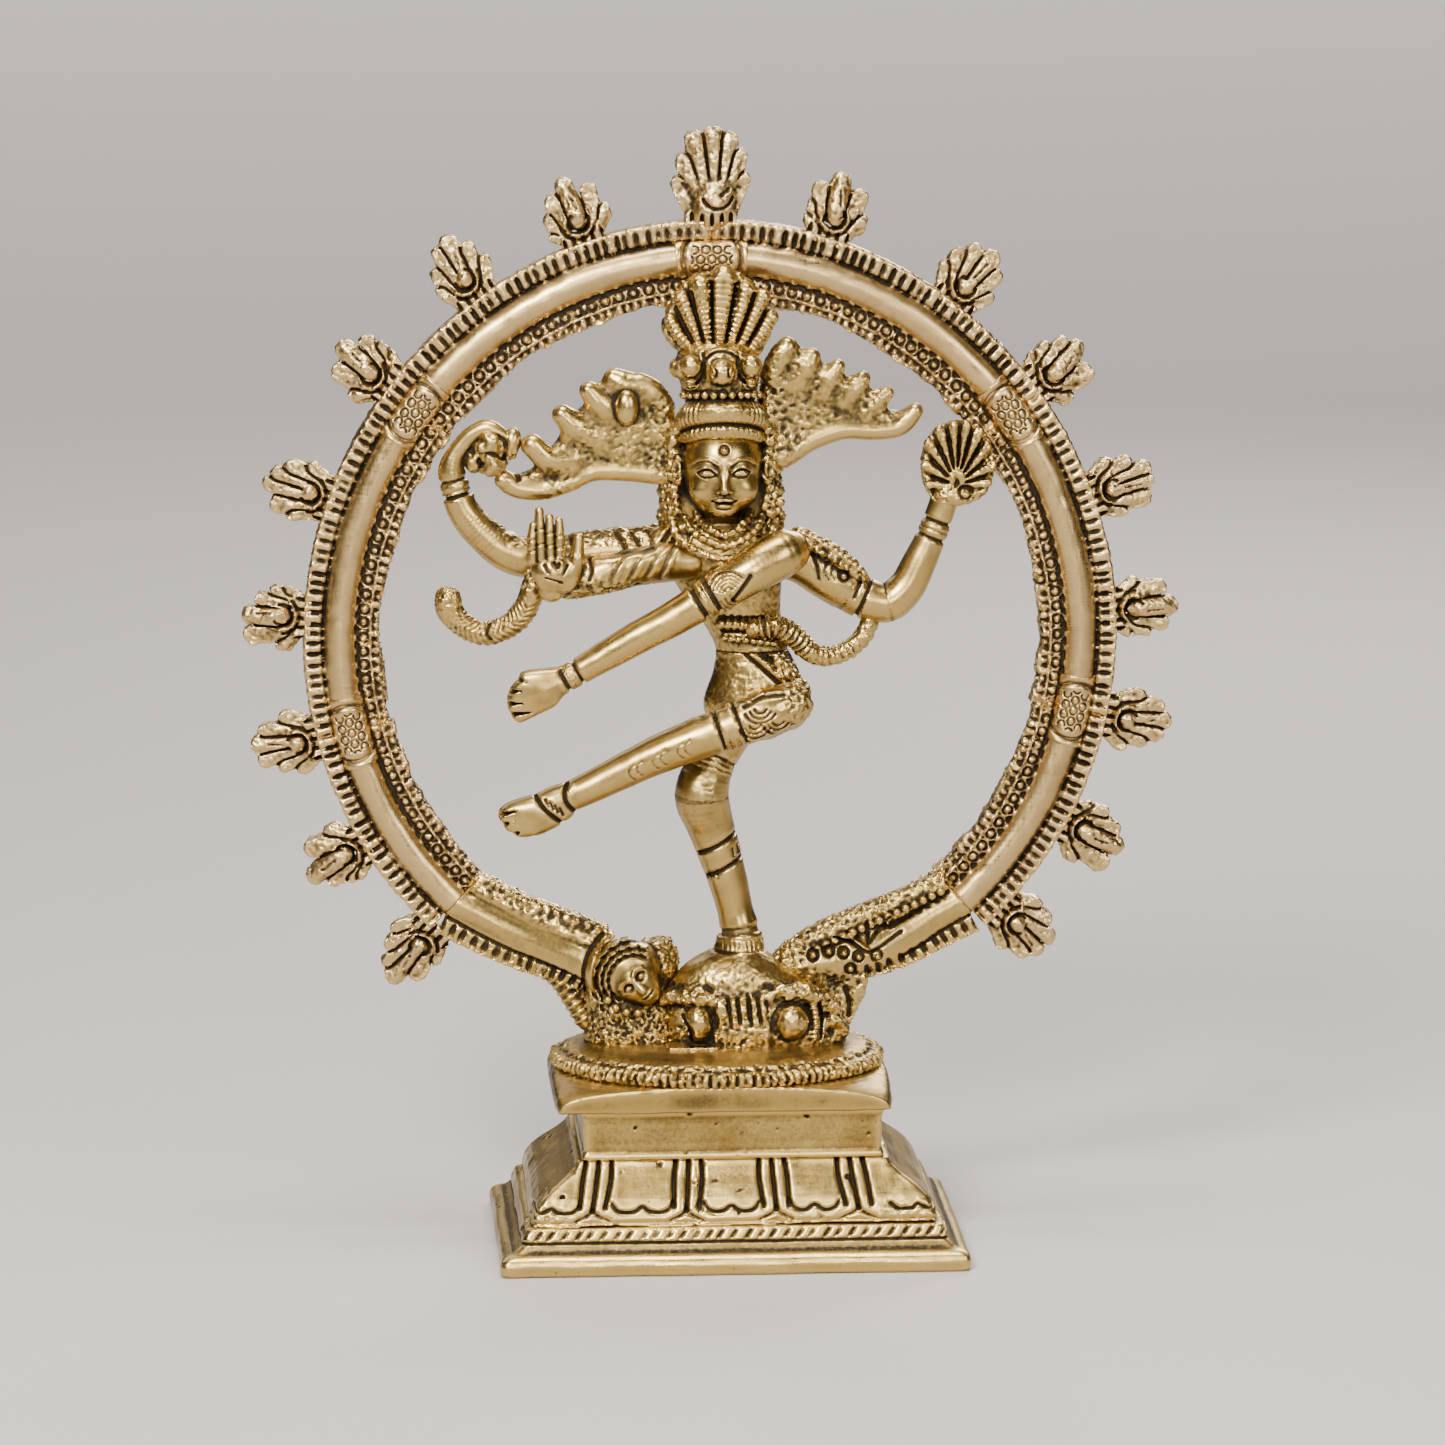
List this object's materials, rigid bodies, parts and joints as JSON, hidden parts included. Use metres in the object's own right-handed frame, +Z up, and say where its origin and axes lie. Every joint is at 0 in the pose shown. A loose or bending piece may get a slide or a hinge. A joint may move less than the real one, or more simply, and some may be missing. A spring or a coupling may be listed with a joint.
{
  "type": "brass nataraja statue",
  "caption": "Dancing multi-armed figure inside a hoop of flames on an oval pedestal and a moulded lotus plinth, in antique cast brass.",
  "frame": {"origin": "on the resting plane, under the centre of the whole object's bounding box, which is also under the hoop's centre line", "axes": "+Z up, +X to the right seen from the front, +Y to the back; the figure faces -Y"},
  "size_m": [0.188, 0.065, 0.2249],
  "materials": {
    "figure_brass": "cast and hand filed, polished highs, dark patina in the recesses",
    "hoop_brass": "satin filed rod with fine scratches, dark patina between the beads",
    "pedestal_brass": "dull brown patina on the floor, polished front edge",
    "plinth_brass": "brushed yellow brass with casting pits and dark engraved lines",
    "fixing_brass": "turned, unpolished"
  },
  "bodies": {
    "root": {"blessing_arm": "figure_brass", "crossing_forearm": "figure_brass", "crossing_upper_arm": "figure_brass", "crown": "figure_brass", "crown_plume": "figure_brass", "drum_forearm": "figure_brass", "drum_upper_arm": "figure_brass", "dwarf_body": "figure_brass", "dwarf_head": "figure_brass", "fixing_stud": "fixing_brass", "flame_01": "hoop_brass", "flame_02": "hoop_brass", "flame_03": "hoop_brass", "flame_04": "hoop_brass", "flame_05": "hoop_brass", "flame_06": "hoop_brass", "flame_07": "hoop_brass", "flame_08": "hoop_brass", "flame_09": "hoop_brass", "flame_10": "hoop_brass", "flame_11": "hoop_brass", "flame_12": "hoop_brass", "flame_13": "hoop_brass", "flame_14": "hoop_brass", "flame_15": "hoop_brass", "flame_16": "hoop_brass", "flame_17": "hoop_brass", "flame_forearm": "figure_brass", "flame_shell": "figure_brass", "flame_upper_arm": "figure_brass", "hair_wing_left": "figure_brass", "hair_wing_right": "figure_brass", "hand_drum": "figure_brass", "head": "figure_brass", "hips": "figure_brass", "hoop_ferrules": "hoop_brass", "hoop_scroll_right": "figure_brass", "hoop_sector_1": "hoop_brass", "hoop_sector_2": "hoop_brass", "hoop_sector_3": "hoop_brass", "hoop_sector_4": "hoop_brass", "hoop_sector_5": "hoop_brass", "hoop_sector_6": "hoop_brass", "hoop_tail_left": "figure_brass", "necklace": "figure_brass", "nut_and_washer": "fixing_brass", "pedestal_floor": "pedestal_brass", "pedestal_slab": "pedestal_brass", "plinth_foot": "plinth_brass", "plinth_lotus_moulding": "plinth_brass", "plinth_neck": "plinth_brass", "raised_foot": "figure_brass", "raised_shin": "figure_brass", "raised_thigh": "figure_brass", "sash": "figure_brass", "snake": "figure_brass", "standing_foot": "figure_brass", "standing_shin": "figure_brass", "standing_thigh": "figure_brass", "torso": "figure_brass"}
  },
  "joints": []
}
